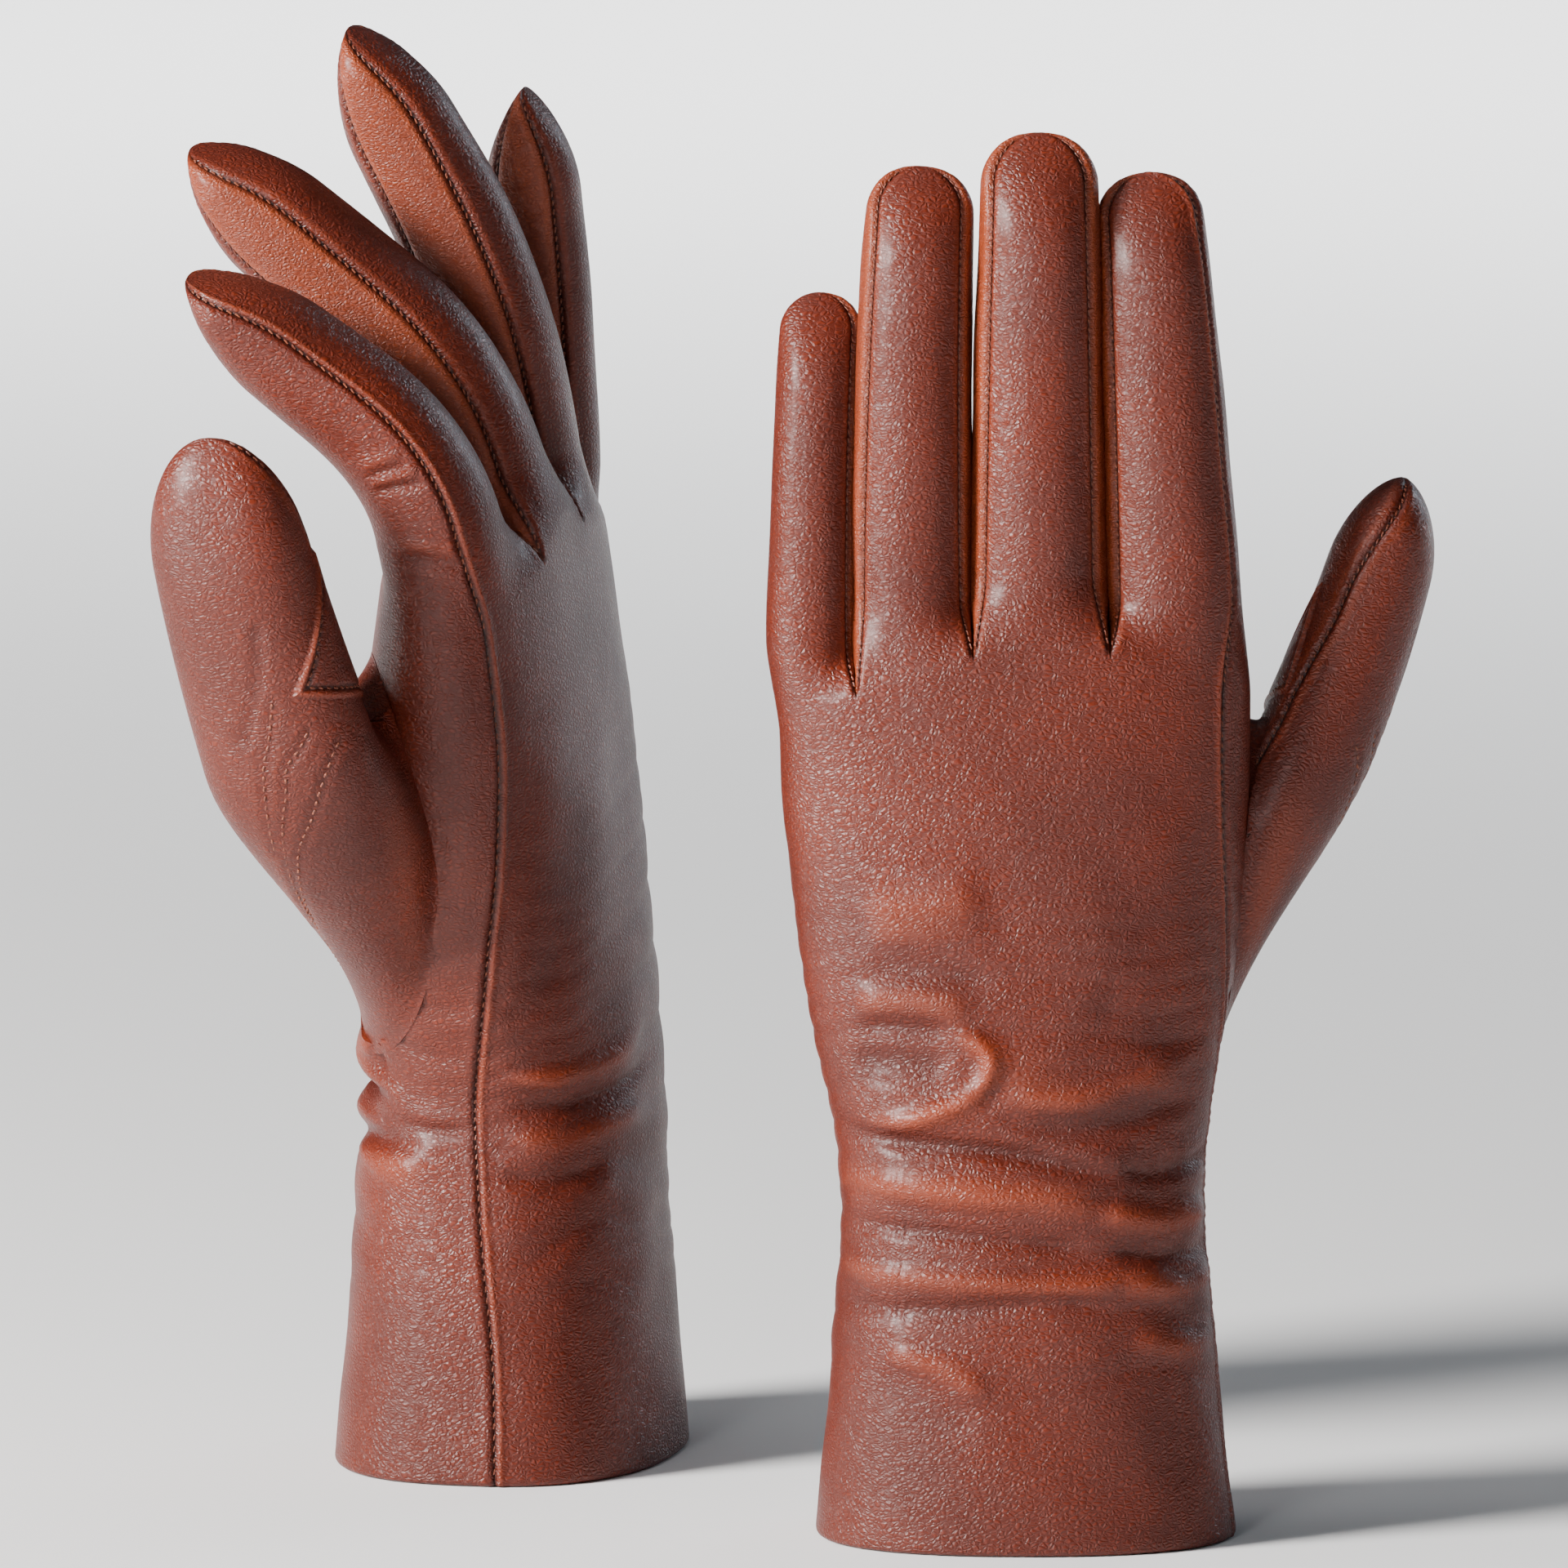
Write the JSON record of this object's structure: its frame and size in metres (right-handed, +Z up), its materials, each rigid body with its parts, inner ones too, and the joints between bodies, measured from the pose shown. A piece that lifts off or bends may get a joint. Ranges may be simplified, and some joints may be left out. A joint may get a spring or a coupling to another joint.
{
  "type": "leather dress gloves",
  "caption": "Slim wrist-length leather gloves with separate lined fingers, fourchettes, side seam and elastic wrist, standing on their cuffs.",
  "frame": {"origin": "on the surface that the gloves stand on, at the middle of the pair's box", "axes": "+Z up from the hems to the fingertips; +X to the viewer's right, from the right glove to the left glove; +Y away from the viewer, out of the left glove's palm"},
  "size_m": [0.2294, 0.1539, 0.2605],
  "materials": {
    "leather": "smooth reddish-brown sheepskin with a fine grain and a satin gloss",
    "fourchette": "the same leather in narrow side strips, a little lighter at the cut edges",
    "lining": "soft brown knitted lining",
    "elastic": "woven elastic strip",
    "thread": "dark brown sewing thread"
  },
  "bodies": {
    "left_hand": {"left_hand_leather": "leather", "left_hand_lining": "lining", "left_cuff_hem": "leather", "left_wrist_elastic": "elastic", "left_side_seam_thread": "thread", "left_thumb_base_leather": "leather", "left_thumb_quirk": "leather", "left_index_middle_quirk": "leather", "left_middle_ring_quirk": "leather", "left_ring_little_quirk": "leather"},
    "left_thumb": {"left_thumb_leather": "leather", "left_thumb_lining": "lining"},
    "left_index": {"left_index_leather": "leather", "left_index_fourchette": "fourchette", "left_index_lining": "lining"},
    "left_middle": {"left_middle_back_leather": "leather", "left_middle_palm_leather": "leather", "left_middle_thumb_side_fourchette": "fourchette", "left_middle_little_side_fourchette": "fourchette", "left_middle_lining": "lining"},
    "left_ring": {"left_ring_back_leather": "leather", "left_ring_palm_leather": "leather", "left_ring_thumb_side_fourchette": "fourchette", "left_ring_little_side_fourchette": "fourchette", "left_ring_lining": "lining"},
    "left_little": {"left_little_leather": "leather", "left_little_fourchette": "fourchette", "left_little_lining": "lining"},
    "right_hand": {"right_hand_leather": "leather", "right_hand_lining": "lining", "right_cuff_hem": "leather", "right_wrist_elastic": "elastic", "right_side_seam_thread": "thread", "right_thumb_base_leather": "leather", "right_thumb_quirk": "leather", "right_index_middle_quirk": "leather", "right_middle_ring_quirk": "leather", "right_ring_little_quirk": "leather"},
    "right_thumb": {"right_thumb_leather": "leather", "right_thumb_lining": "lining"},
    "right_index": {"right_index_leather": "leather", "right_index_fourchette": "fourchette", "right_index_lining": "lining"},
    "right_middle": {"right_middle_back_leather": "leather", "right_middle_palm_leather": "leather", "right_middle_thumb_side_fourchette": "fourchette", "right_middle_little_side_fourchette": "fourchette", "right_middle_lining": "lining"},
    "right_ring": {"right_ring_back_leather": "leather", "right_ring_palm_leather": "leather", "right_ring_thumb_side_fourchette": "fourchette", "right_ring_little_side_fourchette": "fourchette", "right_ring_lining": "lining"},
    "right_little": {"right_little_leather": "leather", "right_little_fourchette": "fourchette", "right_little_lining": "lining"}
  },
  "joints": [
    {"name": "left_thumb_bend", "type": "hinge", "parent": "left_hand", "child": "left_thumb", "pos_m": [0.0946, -0.02061, 0.13703], "axis": [-1, 0, 0], "range_deg": [0, 25], "stiffness_Nm_per_rad": 0.1},
    {"name": "left_index_bend", "type": "hinge", "parent": "left_hand", "child": "left_index", "pos_m": [0.0701, -0.0364, 0.1554], "axis": [-1, 0, 0], "range_deg": [0, 60], "stiffness_Nm_per_rad": 0.1},
    {"name": "left_middle_bend", "type": "hinge", "parent": "left_hand", "child": "left_middle", "pos_m": [0.0451, -0.0371, 0.15897], "axis": [-1, 0, 0], "range_deg": [0, 60], "stiffness_Nm_per_rad": 0.1},
    {"name": "left_ring_bend", "type": "hinge", "parent": "left_hand", "child": "left_ring", "pos_m": [0.0228, -0.0372, 0.15498], "axis": [-1, 0, 0], "range_deg": [0, 60], "stiffness_Nm_per_rad": 0.1},
    {"name": "left_little_bend", "type": "hinge", "parent": "left_hand", "child": "left_little", "pos_m": [0.0048, -0.0376, 0.14683], "axis": [-1, 0, 0], "range_deg": [0, 60], "stiffness_Nm_per_rad": 0.1},
    {"name": "right_thumb_bend", "type": "hinge", "parent": "right_hand", "child": "right_thumb", "pos_m": [-0.1071, -0.02161, 0.13379], "axis": [-0.2383, -0.9556, -0.1737], "range_deg": [0, 20], "stiffness_Nm_per_rad": 0.1},
    {"name": "right_index_bend", "type": "hinge", "parent": "right_hand", "child": "right_index", "pos_m": [-0.07245, -0.00473, 0.1613], "axis": [-0.2383, -0.9556, -0.1737], "range_deg": [0, 25], "stiffness_Nm_per_rad": 0.1},
    {"name": "right_middle_bend", "type": "hinge", "parent": "right_hand", "child": "right_middle", "pos_m": [-0.06618, 0.02042, 0.16979], "axis": [-0.2383, -0.9556, -0.1737], "range_deg": [0, 30], "stiffness_Nm_per_rad": 0.1},
    {"name": "right_ring_bend", "type": "hinge", "parent": "right_hand", "child": "right_ring", "pos_m": [-0.06016, 0.04414, 0.16973], "axis": [-0.2383, -0.9556, -0.1737], "range_deg": [0, 40], "stiffness_Nm_per_rad": 0.1},
    {"name": "right_little_bend", "type": "hinge", "parent": "right_hand", "child": "right_little", "pos_m": [-0.05474, 0.06409, 0.16444], "axis": [-0.2383, -0.9556, -0.1737], "range_deg": [0, 50], "stiffness_Nm_per_rad": 0.1},
    {"name": "right_glove_lift", "type": "slide", "parent": "left_hand", "child": "right_hand", "axis": [0, 0, 1], "range_m": [0, 0.08]}
  ]
}
